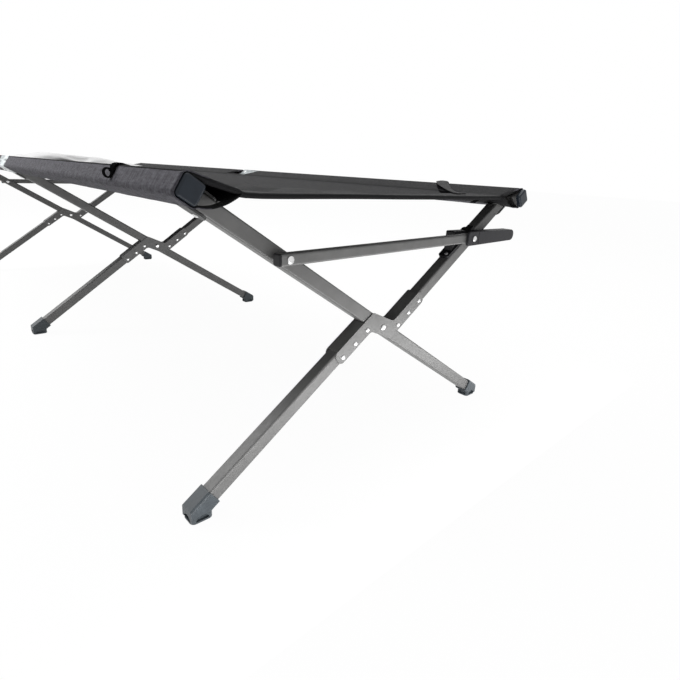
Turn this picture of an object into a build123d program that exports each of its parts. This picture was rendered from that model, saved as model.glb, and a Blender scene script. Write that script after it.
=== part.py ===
from build123d import *
import os
from math import atan2, cos, degrees, hypot, radians, sin

# Folding camp cot: three scissor leg frames, two jointed side rails, a fabric bed
# slung between them, and a latched spreader bar across each end frame.
# Millimetres. +Y runs from the foot end to the head end, +X is to the right seen
# from the foot end, +Z is up. The origin is on the floor under the middle of the cot.

# Scissor frames
frame_spacing = 900.0  # between neighbouring frames, along the rails
hub_height = 212.0  # scissor pivot above the floor
leg_a_tilt = 32.1  # straight leg above the horizontal, degrees
leg_b_tilt = 35.0  # stepped leg above the horizontal, degrees
rail_reach = 390.0  # pivot to rail centre, along the leg
leg_width = 21.0
leg_depth = 21.0
leg_wall = 1.5
leg_corner = 3.0
upper_step = 20.2  # stepped leg's upper tube below the pivot, across the leg
lower_step = 26.2  # its lower tube above the pivot, across the leg
plate_play = 0.3  # between the straight leg and each hub plate
leg_top_gap = 1.0  # leg end to the bracket's floor

# Hub bracket: an S-shaped pressed channel that joins the stepped leg's two tubes
plate_wall = 1.5
rivet_line = 22.6  # arm rivets from the pivot, across the leg
arm_margin = 8.5  # plate edge outside the rivet line, on the open side
arm_nose = 11.0  # plate end past the last rivet
rivet_pitch = 30.5
first_rivet = 29.0  # pivot to the nearest arm rivet, along the leg
hub_corner = 9.0
hub_notch = 10.0
hub_shoulder = 4.0  # the hub's top corner short of the pivot, along the leg
hub_valley = 24.0  # where the hub runs into the far arm
leg_end_gap = 1.0  # cut tube end to the straight leg

# Rivets and pins
rivet_radius = 2.4
rivet_head = 3.6
rivet_head_height = 2.0
pin_radius = 3.2
pin_head = 5.0
hole_play = 0.05
head_play = 0.3

# Rails
rail_width = 25.0
rail_wall = 1.3
rail_corner = 4.0
left_overhang = 26.0  # rail end past the end frame's middle
right_overhang = 37.0
joint_length = 90.0
joint_wall = 1.5
joint_pin_step = 25.0  # rail split to each joint pin
cap_length = 8.0
cap_rim = 0.5  # cap proud of the rail, each side
cap_round = 3.5
cap_plug = 18.0
plug_play = 0.1

# Rail brackets
bracket_wall = 2.5
bracket_width = 22.0
bracket_ear = 30.0
bracket_pin_drop = 19.0  # bracket floor to the leg pin

# Feet
foot_width = 26.5
foot_corner = 4.0
foot_length = 51.0  # socket mouth above the floor, along the leg
foot_seat = 34.0  # tube end above the floor, along the leg
foot_end = 15.8  # sole's centre to the socket's upright outer face
sole_corner = 7.0
sole_height = 10.0
sole_rise = 16.0  # height at which the leg's centre line meets the sole's
sole_rim = 3.5  # ring left under the arches
sole_edge = 1.5
arch_radius = 10.2
arch_top = 11.0
arch_depth = 4.0

# Spreader bar
bar_pivot = 241.0  # hub to the bar's pivot, up the straight leg
bar_reach = 399.5  # bar pivot to lever pivot
bar_tilt = 1.25  # bar's rise towards the lever, degrees
bar_height = 15.5
bar_depth = 15.0
bar_wall = 1.2
bar_corner = 3.0
bar_standoff = 4.5  # leg face to the bar's back
bar_end = 13.0  # bar past its pivot
bar_tip = 11.0  # bar past the lever pivot
bar_play = 0.2
spacer_radius = 8.0
bar_rivet_radius = 3.0
bar_rivet_head = 5.0
end_plug_rim = 3.0
end_plug_depth = 12.0

# Latch lever
lever_cheek = 4.8  # front cheek over the bar
lever_back = 18.0  # lever behind its pivot
lever_length = 139.0  # lever pivot to the grip's end
lever_root = 12.0  # half height at the pivot
lever_tip_top = 9.0
lever_tip_bottom = 11.0
lever_round = 5.0
lever_tip_round = 9.8
lever_body_play = 0.7  # turning clearance from the bar's tip to the grip's thick body
slot_play = 0.6
lever_edge = 1.2
lever_line = 14.0  # pivot to the line across the lever's face
lever_line_width = 1.2
lever_line_depth = 0.6

# Catch on the stepped leg
peg_radius = 4.0
peg_along = 258.0  # hub to the peg, up the stepped leg
peg_above = 16.0  # peg above the tube's centre line
peg_length = 13.0
catch_pad = 5.0
catch_width = 22.0
catch_high = 272.0
catch_cheek_low = 244.0
catch_cheek = 3.0
catch_play = 0.2
catch_horn = 43.0  # horn tip above the tube's centre line
catch_horn_along = 224.0
catch_rivet_margin = 6.5  # horn's foot to the catch rivet
catch_lip = 7.0  # pad past its rivet
catch_rivet_side = 3.5  # catch rivet in front of the leg's middle

# Fabric
cloth = 1.2
cloth_play = 0.15
seam_reach = 57.0  # rail centre to the sleeve's seam, across the bed
left_seam_rise = -2.0  # seam above the rail's centre
right_seam_rise = 2.0
seam_radius = 2.2
sleeve_setback = 0.5  # sleeve end short of the rail's end
sleeve_gap = 100.0  # break in the sleeves at the rail joints
leg_opening_play = 3.0
bed_overhang = 30.0
bed_sag = 8.0  # sheet below the seams' line at mid width
bed_end_sag = 1.0  # the same at the taut end hems
sag_length = 150.0  # end hem to full sag
bed_play = 0.3

# Head pillow
pillow_width = 430.0
pillow_length = 290.0
pillow_height = 42.0
pillow_end_gap = 40.0  # pillow to the bed's head edge
pillow_pull = 0.06  # share of the width that the sides draw in
pillow_play = 0.5  # pillow above the sheet


# Derived sizes
leg_tilt = {"a": leg_a_tilt, "b": leg_b_tilt}
upper_offset = {"a": 0.0, "b": -upper_step}
lower_offset = {"a": 0.0, "b": lower_step}
straight_depth = leg_depth - 2 * plate_play
tube_depth = {"a": straight_depth, "b": leg_depth}
frame_places = {"near": -frame_spacing, "mid": 0.0, "far": frame_spacing}
plate_face = leg_depth / 2 + plate_wall
rail_end = {"a": frame_spacing + left_overhang, "b": frame_spacing + right_overhang}
seam_rise = {"a": left_seam_rise, "b": right_seam_rise}
arm_rivets = [first_rivet + i * rivet_pitch for i in range(3)]
arm_end = arm_rivets[-1] + arm_nose
bar_back = leg_depth / 2 + bar_standoff
bar_front = bar_back + bar_depth
lever_front = bar_front + bar_play + lever_cheek
end_plane = -frame_spacing

nodes = {}


def leg_plane(side, y):
    """Frame of one leg: x up the leg from the pivot, y towards the bed, z along the cot."""
    tilt = radians(leg_tilt[side])
    if side == "a":
        return Plane(origin=(0, y, hub_height), x_dir=(-cos(tilt), 0, sin(tilt)), z_dir=(0, 1, 0))
    return Plane(origin=(0, y, hub_height), x_dir=(cos(tilt), 0, sin(tilt)), z_dir=(0, -1, 0))


def leg_point(side, along, above):
    """World x and z of a point given in a leg's own frame."""
    spot = leg_plane(side, 0).from_local_coords(Vector(along, above, 0))
    return spot.X, spot.Z


def floor_reach(side):
    """Pivot to floor along the leg's lower tube."""
    tilt = radians(leg_tilt[side])
    return (hub_height + lower_offset[side] * cos(tilt)) / sin(tilt)


def section(width, depth, wall, corner):
    """Rounded rectangular tube section."""
    bore = RectangleRounded(width - 2 * wall, depth - 2 * wall, corner - wall)
    return RectangleRounded(width, depth, corner) - bore


def tube_along_x(profile, start, end):
    """Extrudes a section along x between two stations."""
    return extrude(Plane.YZ.offset(start) * profile, end - start)


def prism_y(profile, start, end):
    """Extrudes an x, z profile along y between two stations."""
    return extrude(Plane.XZ.offset(-start) * profile, start - end)


def rod_y(x, z, radius, start, end):
    """Round rod along y."""
    return Pos(x, (start + end) / 2, z) * Rot(90, 0, 0) * Cylinder(radius, abs(end - start))


def rivet(shank, head, height, span):
    """Rivet along z with a chamfered head at each end of its span."""
    half = span / 2
    edge = half + 0.4 * height
    top = half + height
    crown = 0.6 * head
    corners = [(0, -top), (crown, -top), (head, -edge), (head, -half), (shank, -half)]
    mirrored = [(r, -z) for r, z in reversed(corners)]
    outline = Plane.XZ * make_face(Polyline(*corners, *mirrored, close=True))
    return revolve(outline, Axis.Z)


def across_leg(along, above, shape):
    """Turns a z-axis shape to lie across a leg, towards the bed."""
    return Pos(along, above, 0) * Rot(90, 0, 0) * shape


def straight_leg(y):
    """Leg A: one tube from foot to rail bracket."""
    top = rail_reach - rail_width / 2 - bracket_wall - leg_top_gap
    bottom = foot_seat - floor_reach("a")
    leg = tube_along_x(section(leg_width, straight_depth, leg_wall, leg_corner), bottom, top)
    leg -= Cylinder(pin_radius + hole_play, 2 * leg_depth)
    leg -= bracket_pin_hole("a")
    if y:
        leg -= Pos(bar_pivot, 0, 0) * Cylinder(bar_rivet_radius + hole_play, 2 * leg_depth)
    return leg_plane("a", y) * leg


def bracket_pin_along():
    """Pivot to the bracket pin, along the leg."""
    return rail_reach - rail_width / 2 - bracket_pin_drop


def bracket_pin_hole(side):
    """Cutter for the pin that hangs a leg from its rail bracket."""
    cutter = Cylinder(rivet_radius + hole_play, 2 * leg_width)
    return across_leg(bracket_pin_along(), upper_offset[side], cutter)


def stepped_leg_cut():
    """Half space that trims the stepped leg's tubes beside the straight leg at rest."""
    lean = 180 - leg_a_tilt - leg_b_tilt
    reach = 2 * rail_reach
    return Rot(0, 0, lean) * Box(reach, leg_width + 2 * leg_end_gap, 2 * leg_depth)


def stepped_leg(y, upper):
    """One tube of leg B, trimmed beside leg A, with its bracket rivet holes."""
    if upper:
        offset_v = upper_offset["b"]
        line = -rivet_line
        start = 0.0
        end = rail_reach - rail_width / 2 - bracket_wall - leg_top_gap
        holes = arm_rivets
    else:
        offset_v = lower_offset["b"]
        line = rivet_line
        start = foot_seat - floor_reach("b")
        end = 0.0
        holes = [-along for along in arm_rivets]
    profile = section(leg_width, leg_depth, leg_wall, leg_corner)
    leg = Pos(0, offset_v, 0) * tube_along_x(profile, start, end)
    leg -= stepped_leg_cut()
    leg = max(leg.solids(), key=lambda piece: piece.volume)
    for along in holes:
        leg -= Pos(along, line, 0) * Cylinder(rivet_radius + hole_play, 2 * leg_depth)
    if upper:
        leg -= bracket_pin_hole("b")
        if y:
            leg -= catch_rivet_hole(-1 if y > 0 else 1)
    return leg_plane("b", y) * leg


def beside_leg(above, way):
    """Station on leg B that is just clear of leg A at rest. way is +1 up the leg, -1 down."""
    cross = radians(180 - leg_a_tilt - leg_b_tilt)
    clear = way * (leg_width / 2 + leg_end_gap)
    return (clear + above * cos(cross)) / sin(cross)


def hub_outline():
    """S shape of a hub plate, around both arms and the pivot."""
    web_edge = leg_width / 2 + plate_wall
    low_top = lower_step + web_edge
    low_bottom = rivet_line - arm_margin
    high_top = web_edge - upper_step
    high_bottom = -rivet_line - arm_margin
    corners = [
        (-arm_end, low_bottom, arm_margin),
        (-arm_end, low_top, arm_margin),
        (-hub_shoulder, low_top, hub_corner),
        (hub_valley, high_top, hub_notch),
        (arm_end, high_top, arm_margin),
        (arm_end, high_bottom, arm_margin),
        (hub_shoulder, high_bottom, hub_corner),
        (-hub_valley, low_bottom, hub_notch),
    ]
    points = [(u, v) for u, v, r in corners]
    return make_face(FilletPolyline(*points, radius=[r for u, v, r in corners], close=True))


def hub_bracket(y):
    """Pressed S bracket: front and rear plates with a web over each tube's bed side."""
    plate = extrude(hub_outline(), plate_wall)
    bracket = Pos(0, 0, leg_depth / 2) * plate + Pos(0, 0, -plate_face) * plate
    web_v = leg_width / 2 + plate_wall / 2
    web_end = arm_end - arm_margin
    low_v = lower_step + web_v
    high_v = web_v - upper_step
    low_start = -beside_leg(low_v + plate_wall / 2, -1)
    high_start = beside_leg(high_v - plate_wall / 2, 1)
    for start, end, place in ((-web_end, -low_start, low_v), (high_start, web_end, high_v)):
        web = Box(end - start, plate_wall, 2 * plate_face)
        bracket += Pos((start + end) / 2, place, 0) * web
    bracket -= Cylinder(pin_radius + hole_play, 3 * leg_depth)
    for along in arm_rivets:
        for spot in ((along, -rivet_line), (-along, rivet_line)):
            bracket -= Pos(*spot, 0) * Cylinder(rivet_radius + hole_play, 3 * leg_depth)
    return leg_plane("b", y) * bracket


def hub_rivets():
    """Six rivets through each hub bracket and its tubes."""
    one = rivet(rivet_radius, rivet_head, rivet_head_height, 2 * plate_face)
    spots = [(along, -rivet_line) for along in arm_rivets]
    spots += [(-along, rivet_line) for along in arm_rivets]
    return [leg_plane("b", y) * Pos(*s, 0) * one for y in frame_places.values() for s in spots]


def hub_pins():
    """Scissor pivots: shouldered pins through both plates and leg A."""
    one = rivet(pin_radius, pin_head, rivet_head_height, 2 * (plate_face + head_play))
    return [leg_plane("a", y) * one for y in frame_places.values()]


def rail_half(side, y_low, y_high):
    """Half of a side rail, with its joint pin hole."""
    tube = extrude(section(rail_width, rail_width, rail_wall, rail_corner), y_high - y_low)
    middle = Pos(0, 0, (y_high - y_low) / 2)
    tube = Pos(rail_reach, upper_offset[side], 0) * middle.inverse() * tube
    half = leg_plane(side, (y_low + y_high) / 2) * tube
    return half - joint_pin_hole(side, joint_pin_step if y_low >= 0 else -joint_pin_step)


def joint_pin_hole(side, y):
    """Cutter across the rail for a joint pin."""
    cutter = Cylinder(rivet_radius + hole_play, 2 * rail_width)
    return leg_plane(side, y) * across_leg(rail_reach, upper_offset[side], cutter)


def rail_joint(side):
    """Steel channel over the rail halves at mid length, open towards the leg."""
    outer = rail_width + 2 * joint_wall
    channel = Rectangle(rail_width + joint_wall, outer, align=(Align.MIN, Align.CENTER))
    channel -= Rectangle(rail_width, rail_width, align=(Align.MIN, Align.CENTER))
    solid = extrude(channel, joint_length / 2, both=True)
    rim = solid.edges().filter_by(Axis.Z).group_by(Axis.X)[-1]
    solid = fillet(rim, joint_wall)
    solid = leg_plane(side, 0) * Pos(rail_reach - rail_width / 2, upper_offset[side], 0) * solid
    for y in (-joint_pin_step, joint_pin_step):
        solid -= joint_pin_hole(side, y)
    return solid


def rail_rivets(side):
    """The rail joint's two pins and the three pins that hang the legs."""
    pin = rivet(rivet_radius, rivet_head, rivet_head_height, rail_width + 2 * joint_wall)
    hanger = rivet(rivet_radius, rivet_head, rivet_head_height, leg_width + 2 * bracket_wall)
    place = upper_offset[side]
    group = []
    for y in (-joint_pin_step, joint_pin_step):
        group.append(leg_plane(side, y) * across_leg(rail_reach, place, pin))
    for y in frame_places.values():
        group.append(leg_plane(side, y) * across_leg(bracket_pin_along(), place, hanger))
    return group


def rail_cap(side, end):
    """Moulded plug in the end of a rail, with a pillowed face. end is -1 near, +1 far."""
    rim = rail_width + 2 * cap_rim
    face = extrude(RectangleRounded(rim, rim, rail_corner + cap_rim), cap_length)
    face = fillet(face.faces().sort_by(Axis.Z)[-1].edges(), cap_round)
    bore = rail_width - 2 * rail_wall - 2 * plug_play
    plug = extrude(RectangleRounded(bore, bore, rail_corner - rail_wall), -cap_plug)
    cap = face + plug
    facing = leg_plane(side, end * rail_end[side])
    place = facing * Pos(rail_reach, upper_offset[side], 0)
    if facing.z_dir.Y * end < 0:
        cap = Rot(180, 0, 0) * cap
    return place * cap


def rail_bracket(side, y):
    """U bracket under the rail: floor on the rail, an ear along each side of the leg."""
    floor_top = rail_reach - rail_width / 2
    span = leg_width + 2 * bracket_wall
    floor = Pos(floor_top - bracket_wall / 2, 0, 0) * Box(bracket_wall, span, bracket_width)
    bracket = floor
    half = bracket_width / 2
    straight = bracket_ear - half
    for inner in (-1, 1):
        ear = Pos(floor_top - straight / 2, 0) * Rectangle(straight, bracket_width)
        ear += Pos(floor_top - straight, 0) * Circle(half)
        ear = Pos(0, 0, -bracket_wall / 2) * extrude(ear, bracket_wall)
        centre = inner * (leg_width + bracket_wall) / 2
        bracket += Pos(0, centre, 0) * Rot(90, 0, 0) * ear
    bracket = Pos(0, upper_offset[side], 0) * bracket
    return leg_plane(side, y) * (bracket - bracket_pin_hole(side))


def foot(side, y):
    """Moulded foot: a square socket trimmed upright over a rounded sole, arched on all sides."""
    tilt = radians(leg_tilt[side])
    reach = floor_reach(side)
    lane = lower_offset[side]
    outward = 1 if side == "a" else -1
    profile = RectangleRounded(foot_width, foot_width, foot_corner)
    socket = Pos(0, lane, 0) * tube_along_x(profile, -reach - foot_width, foot_length - reach)
    socket = leg_plane(side, y) * socket
    sole_x, _ = leg_point(side, sole_rise / sin(tilt) - reach, lane)
    room = 2 * foot_length
    keep = Box(room, room, room, align=(Align.CENTER, Align.CENTER, Align.MIN))
    edge = sole_x + outward * (foot_end - room / 2)
    socket = socket & (Pos(edge, y, sole_rim) * keep)
    sole = extrude(RectangleRounded(2 * foot_end, foot_width, sole_corner), sole_height)
    sole = fillet(sole.faces().sort_by(Axis.Z)[0].edges(), sole_edge)
    body = socket + Pos(sole_x, y, 0) * sole
    front = foot_width / 2 - arch_depth
    for turn, inset in ((0, foot_end - arch_depth), (90, front), (180, foot_end - arch_depth), (270, front)):
        arch = Cylinder(arch_radius, room, align=(Align.CENTER, Align.CENTER, Align.MIN))
        arch = Pos(inset, 0, arch_top - arch_radius) * Rot(0, 90, 0) * arch
        arch = arch & (Pos(0, 0, sole_rim) * keep)
        body -= Pos(sole_x, y, 0) * Rot(0, 0, turn) * arch
    bore = Rectangle(leg_width + 2 * plug_play, tube_depth[side] + 2 * plug_play)
    bore = Pos(0, lane, 0) * tube_along_x(bore, foot_seat - reach, foot_length)
    return body - leg_plane(side, y) * bore


def bar_spots():
    """World x and z of the bar's pivot and of the lever's pivot."""
    x, z = leg_point("a", bar_pivot, 0)
    rise = radians(bar_tilt)
    return (x, z), (x + bar_reach * cos(rise), z + bar_reach * sin(rise))


def bar_place(along):
    """Places a shape drawn level about a point of the bar, given along it from the pivot."""
    (x, z), _ = bar_spots()
    return Pos(x, end_plane, z) * Rot(0, -bar_tilt, 0) * Pos(along, 0, 0)


def spreader_bar():
    """Rectangular tube across the near frame, in front of the hub."""
    tube = section(bar_depth, bar_height, bar_wall, bar_corner)
    bar = tube_along_x(tube, -bar_end, bar_reach + bar_tip)
    bar = Pos(0, -bar_back - bar_depth / 2, 0) * bar
    for spot in (0, bar_reach):
        bar -= rod_y(spot, 0, bar_rivet_radius + hole_play, 0, -2 * bar_front)
    return bar_place(0) * bar


def bar_plug():
    """Moulded plug in the bar's pivot end."""
    bore_depth = bar_depth - 2 * (bar_wall + plug_play)
    bore_height = bar_height - 2 * (bar_wall + plug_play)
    rim = tube_along_x(RectangleRounded(bar_depth, bar_height, bar_corner), -end_plug_rim, 0)
    rim = fillet(rim.faces().sort_by(Axis.X)[0].edges(), end_plug_rim / 2)
    core = RectangleRounded(bore_depth, bore_height, bar_corner - bar_wall)
    reach = min(end_plug_depth, bar_end - bar_rivet_radius - 2 * plug_play)
    plug = rim + tube_along_x(core, 0, reach)
    return bar_place(-bar_end) * Pos(0, -bar_back - bar_depth / 2, 0) * plug


def bar_spacer():
    """Bush that holds the bar off the leg, clear of the hub plates."""
    (x, z), _ = bar_spots()
    leg_face = end_plane - straight_depth / 2
    bush = rod_y(x, z, spacer_radius, leg_face, end_plane - bar_back + bar_play)
    return bush - rod_y(x, z, bar_rivet_radius + hole_play, end_plane, end_plane - 2 * bar_back)


def bar_rivet():
    """Pivot rivet through leg A, the spacer and the bar."""
    (x, z), _ = bar_spots()
    back = end_plane + straight_depth / 2
    front = end_plane - bar_front - head_play
    one = rivet(bar_rivet_radius, bar_rivet_head, rivet_head_height, back - front)
    return Pos(x, (back + front) / 2, z) * Rot(90, 0, 0) * one


def lever_rivet():
    """Rivet that carries the lever on the bar's free end, with a thin head behind."""
    _, (x, z) = bar_spots()
    front = end_plane - lever_front - head_play
    shank = rod_y(x, z, bar_rivet_radius, end_plane - bar_back, front)
    thin = rivet_head_height / 2
    back_head = rod_y(x, z, bar_rivet_head, end_plane - bar_back + thin, end_plane - bar_back)
    front_head = rod_y(x, z, bar_rivet_head, front, front - rivet_head_height)
    front_head = chamfer(front_head.faces().sort_by(Axis.Y)[0].edges(), rivet_head_height / 2)
    return shank + back_head + front_head


def peg_offset():
    """Lever pivot to catch peg: distance, and angle above the bar in degrees."""
    _, (x, z) = bar_spots()
    peg_x, peg_z = leg_point("b", peg_along, peg_above - upper_step)
    return hypot(peg_x - x, peg_z - z), degrees(atan2(peg_z - z, peg_x - x)) - bar_tilt


def lever_outline():
    """Side view of the lever about its pivot, tapering to a rounded grip end."""
    corners = [
        (-lever_back, -lever_root, lever_round),
        (-lever_back, lever_root, lever_round),
        (lever_back, lever_root, 2 * lever_length),
        (lever_length, lever_tip_top, lever_tip_round),
        (lever_length, -lever_tip_bottom, lever_tip_round),
    ]
    points = [(x, z) for x, z, r in corners]
    return make_face(FilletPolyline(*points, radius=[r for x, z, r in corners], close=True))


def lever():
    """Latch lever: a cheek in front of the bar, and a thick grip with a slot for the peg."""
    outline = lever_outline()
    cheek_back = bar_front + bar_play
    handle = prism_y(outline, -lever_front, -cheek_back)
    handle = fillet(handle.faces().sort_by(Axis.Y)[0].edges(), lever_edge)
    body = prism_y(outline, -cheek_back, -bar_back - bar_play)
    room = 3 * lever_length
    tip_sweep = hypot(bar_tip, bar_height / 2) + lever_body_play
    body -= Pos(tip_sweep - room / 2, 0, 0) * Box(room, room, room)
    distance, angle = peg_offset()
    width = peg_radius + slot_play
    ring = Circle(distance + width) - Circle(distance - width)
    sweep = make_face(Polyline((0, 0), (room, 0), (room, room), (-room, room), close=True))
    slot = ring & (Rot(0, 0, angle) * sweep)
    slot += Rot(0, 0, angle) * Pos(distance, 0) * Circle(width)
    body -= prism_y(slot, -cheek_back, -bar_back)
    handle += body
    line = Box(lever_line_width, 2 * lever_line_depth, room)
    handle -= Pos(lever_line, -lever_front, 0) * line
    handle -= rod_y(0, 0, bar_rivet_radius + hole_play, -2 * lever_front, 0)
    return bar_place(bar_reach) * handle


def horn_corners():
    """Tip, back foot and front foot of the catch's horn, upright in front and level on top."""
    face = leg_width / 2 - upper_step
    tip = (catch_horn_along, catch_horn - upper_step)
    slope = radians(leg_b_tilt)
    drop = tip[1] - face
    back = (tip[0] + drop * cos(slope) / sin(slope), face)
    front = (tip[0] - drop * sin(slope) / cos(slope), face)
    return tip, back, front


def catch_rivet_along():
    """Hub to the catch rivet, up the stepped leg."""
    return horn_corners()[2][0] - catch_rivet_margin


def catch_rivet_hole(facing):
    """Cutter in leg B's bed side wall for the catch rivet. facing is +1 near, -1 far."""
    wall = leg_width / 2 - upper_step
    hole = across_leg(catch_rivet_along(), wall, Cylinder(rivet_radius + hole_play, leg_width))
    return Pos(0, 0, facing * catch_rivet_side) * hole


def catch():
    """Moulded catch on leg B: pad and gusset on the bed side, cheek and peg in front."""
    face = leg_width / 2 - upper_step
    low = catch_rivet_along() - catch_lip
    pad_mid = (low + catch_high) / 2
    pad = Box(catch_high - low, catch_pad, catch_width)
    pad = fillet(pad.edges().filter_by(Axis.Y), catch_pad)
    body = Pos(pad_mid, face + catch_pad / 2, 0) * pad
    horn = make_face(Polyline(*horn_corners(), close=True))
    horn = extrude(horn, catch_width / 2 - catch_pad / 2, both=True)
    horn = fillet(horn.edges().filter_by(Axis.Z).sort_by(Axis.Y)[-1], catch_pad / 2)
    body += horn
    front_low = leg_depth / 2 + catch_play
    cheek_top = face + 2 * catch_pad
    cheek_bottom = face - catch_pad
    cheek_w = front_low + catch_cheek / 2
    cheek_u = (catch_cheek_low + catch_high) / 2
    cheek = Box(catch_high - catch_cheek_low, cheek_top - cheek_bottom, catch_cheek)
    body += Pos(cheek_u, (cheek_top + cheek_bottom) / 2, cheek_w) * cheek
    bridge_w = front_low + catch_cheek
    bridge = Box(catch_high - catch_cheek_low, cheek_top - face, bridge_w)
    body += Pos(cheek_u, (cheek_top + face) / 2, bridge_w / 2) * bridge
    peg_w = front_low + catch_cheek
    peg = Cylinder(peg_radius, peg_length, align=(Align.CENTER, Align.CENTER, Align.MIN))
    peg = chamfer(peg.faces().sort_by(Axis.Z)[-1].edges(), peg_radius / 4)
    body += Pos(peg_along, peg_above - upper_step, peg_w) * peg
    return leg_plane("b", end_plane) * (body - catch_rivet_hole(1))


def catch_rivet():
    """Rivet through the catch's pad into leg B."""
    face = leg_width / 2 - upper_step
    span = catch_pad + leg_wall
    one = rivet(rivet_radius, rivet_head, rivet_head_height, span)
    one = across_leg(catch_rivet_along(), face + catch_pad - span / 2, one)
    return leg_plane("b", end_plane) * Pos(0, 0, catch_rivet_side) * one


def rail_centre(side):
    """World x and z of a rail's centre."""
    return leg_point(side, rail_reach, upper_offset[side])


def seam_point(side):
    """World x and z of a sleeve's seam, bedwards of its rail."""
    x, z = rail_centre(side)
    inward = 1 if side == "a" else -1
    return x + inward * seam_reach, z + seam_rise[side]


def sleeve_loop(side):
    """Teardrop loop of cloth round a rail and in to the seam."""
    size = rail_width + 2 * (cloth + cloth_play)
    turn = -leg_tilt[side] if side == "a" else leg_tilt[side]
    wrap = Pos(*rail_centre(side)) * Rot(0, 0, turn)
    wrap *= RectangleRounded(size, size, rail_corner + cloth + cloth_play)
    tip = Pos(*seam_point(side)) * Circle(seam_radius)
    outer = make_hull(wrap.edges() + tip.edges())
    return outer - offset(outer, -cloth)


def leg_opening(side, y):
    """Cutter where a leg and its bracket pass through the sleeve's underside."""
    reach = bracket_ear + rail_width / 2
    top = leg_width / 2 + bracket_wall + rivet_head_height + cloth
    bottom = leg_width / 2 + bracket_wall + leg_opening_play
    width = leg_depth + 2 * leg_opening_play
    cutter = Box(reach, top + bottom, width, align=(Align.MAX, Align.MAX, Align.CENTER))
    start = rail_reach - rail_width / 2 + bracket_wall
    return leg_plane(side, y) * Pos(start, upper_offset[side] + top, 0) * cutter


def sleeve(side, end):
    """Cloth sleeve on half a rail, from the rail joint to the rail's end."""
    inner = sleeve_gap / 2
    outer = rail_end[side] - sleeve_setback
    low, high = (-outer, -inner) if end < 0 else (inner, outer)
    return prism_y(sleeve_loop(side), low, high) - leg_opening(side, end * frame_spacing)


def sag_at(y):
    """Sag of the sheet at a station along the cot, less near its taut ends."""
    share = min((frame_spacing + bed_overhang - abs(y)) / sag_length, 1.0)
    return bed_end_sag + share * (bed_sag - bed_end_sag)


def bed_line(share, sag):
    """World x and z of the bed's upper face, from the left seam (0) to the right one (1)."""
    left_x, left_z = seam_point("a")
    right_x, right_z = seam_point("b")
    left_x += seam_radius + cloth_play
    right_x -= seam_radius + bed_play
    dip = 4 * sag * share * (1 - share)
    x = left_x + share * (right_x - left_x)
    return x, left_z + share * (right_z - left_z) + cloth / 2 - dip


def bed_panel():
    """Sheet slung between the two seams: taut at its ends, with a slight sag between."""
    reach = frame_spacing + bed_overhang
    slices = []
    for y in (-reach, sag_length - reach, reach - sag_length, reach):
        top = [bed_line(share, sag_at(y)) for share in (0, 0.5, 1)]
        under = [(x, z - cloth) for x, z in reversed(top)]
        edge = ThreePointArc(*top) + Line(top[2], under[0])
        edge += ThreePointArc(*under) + Line(under[2], top[0])
        slices.append(Plane.XZ.offset(-y) * make_face(edge))
    return loft(slices, ruled=True)


def pillow_section(y, width, height):
    """Crowned slice of the pillow, lying on the bed."""
    span = bed_line(1, 0)[0] - bed_line(0, 0)[0]
    share = width / span / 2
    low = [bed_line(0.5 + step * share, sag_at(y)) for step in (-1, 0, 1)]
    low = [(x, z + pillow_play) for x, z in low]
    crown = (low[1][0], low[1][1] + height)
    outline = ThreePointArc(low[0], crown, low[2]) + ThreePointArc(low[2], low[1], low[0])
    return Plane.XZ.offset(-y) * make_face(outline)


def head_pillow():
    """Pillow at the head end: crowned, thin at its edges, with drawn-in sides."""
    head = frame_spacing + bed_overhang - pillow_end_gap
    middle = head - pillow_length / 2
    slices = []
    for step in (-1.0, -0.8, -0.4, 0.0, 0.4, 0.8, 1.0):
        width = pillow_width * (1 - pillow_pull * (1 - step * step))
        height = pillow_height * max(1 - step**4, 0.0) ** 0.5 + pillow_height / 5
        slices.append(pillow_section(middle + step * pillow_length / 2, width, height))
    return loft(slices)


def both_ends(name, solid):
    """Adds a near-end piece and its mirror image at the head end."""
    nodes[f"{name}_near"] = solid
    nodes[f"{name}_far"] = mirror(solid, about=Plane.XZ)


def build_frames():
    """Legs, feet and brackets of the three scissor frames."""
    for name, y in frame_places.items():
        nodes[f"leg_a_{name}"] = straight_leg(y)
        nodes[f"leg_b_upper_{name}"] = stepped_leg(y, True)
        nodes[f"leg_b_lower_{name}"] = stepped_leg(y, False)
        nodes[f"hub_bracket_{name}"] = hub_bracket(y)
        for side in "ab":
            nodes[f"foot_{side}_{name}"] = foot(side, y)
            nodes[f"rail_bracket_{side}_{name}"] = rail_bracket(side, y)
    nodes["hub_rivets"] = hub_rivets()
    nodes["hub_pins"] = hub_pins()


def build_rails():
    """Side rails with their joints, caps, pins and sleeves."""
    for side, name in (("a", "left"), ("b", "right")):
        nodes[f"{name}_rail_near"] = rail_half(side, -rail_end[side], 0)
        nodes[f"{name}_rail_far"] = rail_half(side, 0, rail_end[side])
        nodes[f"{name}_rail_joint"] = rail_joint(side)
        nodes[f"{name}_rail_rivets"] = rail_rivets(side)
        for end, place in ((-1, "near"), (1, "far")):
            nodes[f"{name}_cap_{place}"] = rail_cap(side, end)
            nodes[f"{name}_sleeve_{place}"] = sleeve(side, end)


def build_spreaders():
    """Spreader bar, lever and catch at each end frame."""
    both_ends("spreader_bar", spreader_bar())
    both_ends("spreader_plug", bar_plug())
    both_ends("lever_rivet", lever_rivet())
    both_ends("latch_lever", lever())
    both_ends("latch_catch", catch())
    for name, one in (("spreader_spacers", bar_spacer()), ("spreader_rivets", bar_rivet())):
        nodes[name] = [one, mirror(one, about=Plane.XZ)]
    one = catch_rivet()
    nodes["catch_rivets"] = [one, mirror(one, about=Plane.XZ)]


def build_bed():
    """Bed sheet and pillow."""
    nodes["bed_panel"] = bed_panel()
    nodes["head_pillow"] = head_pillow()


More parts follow.
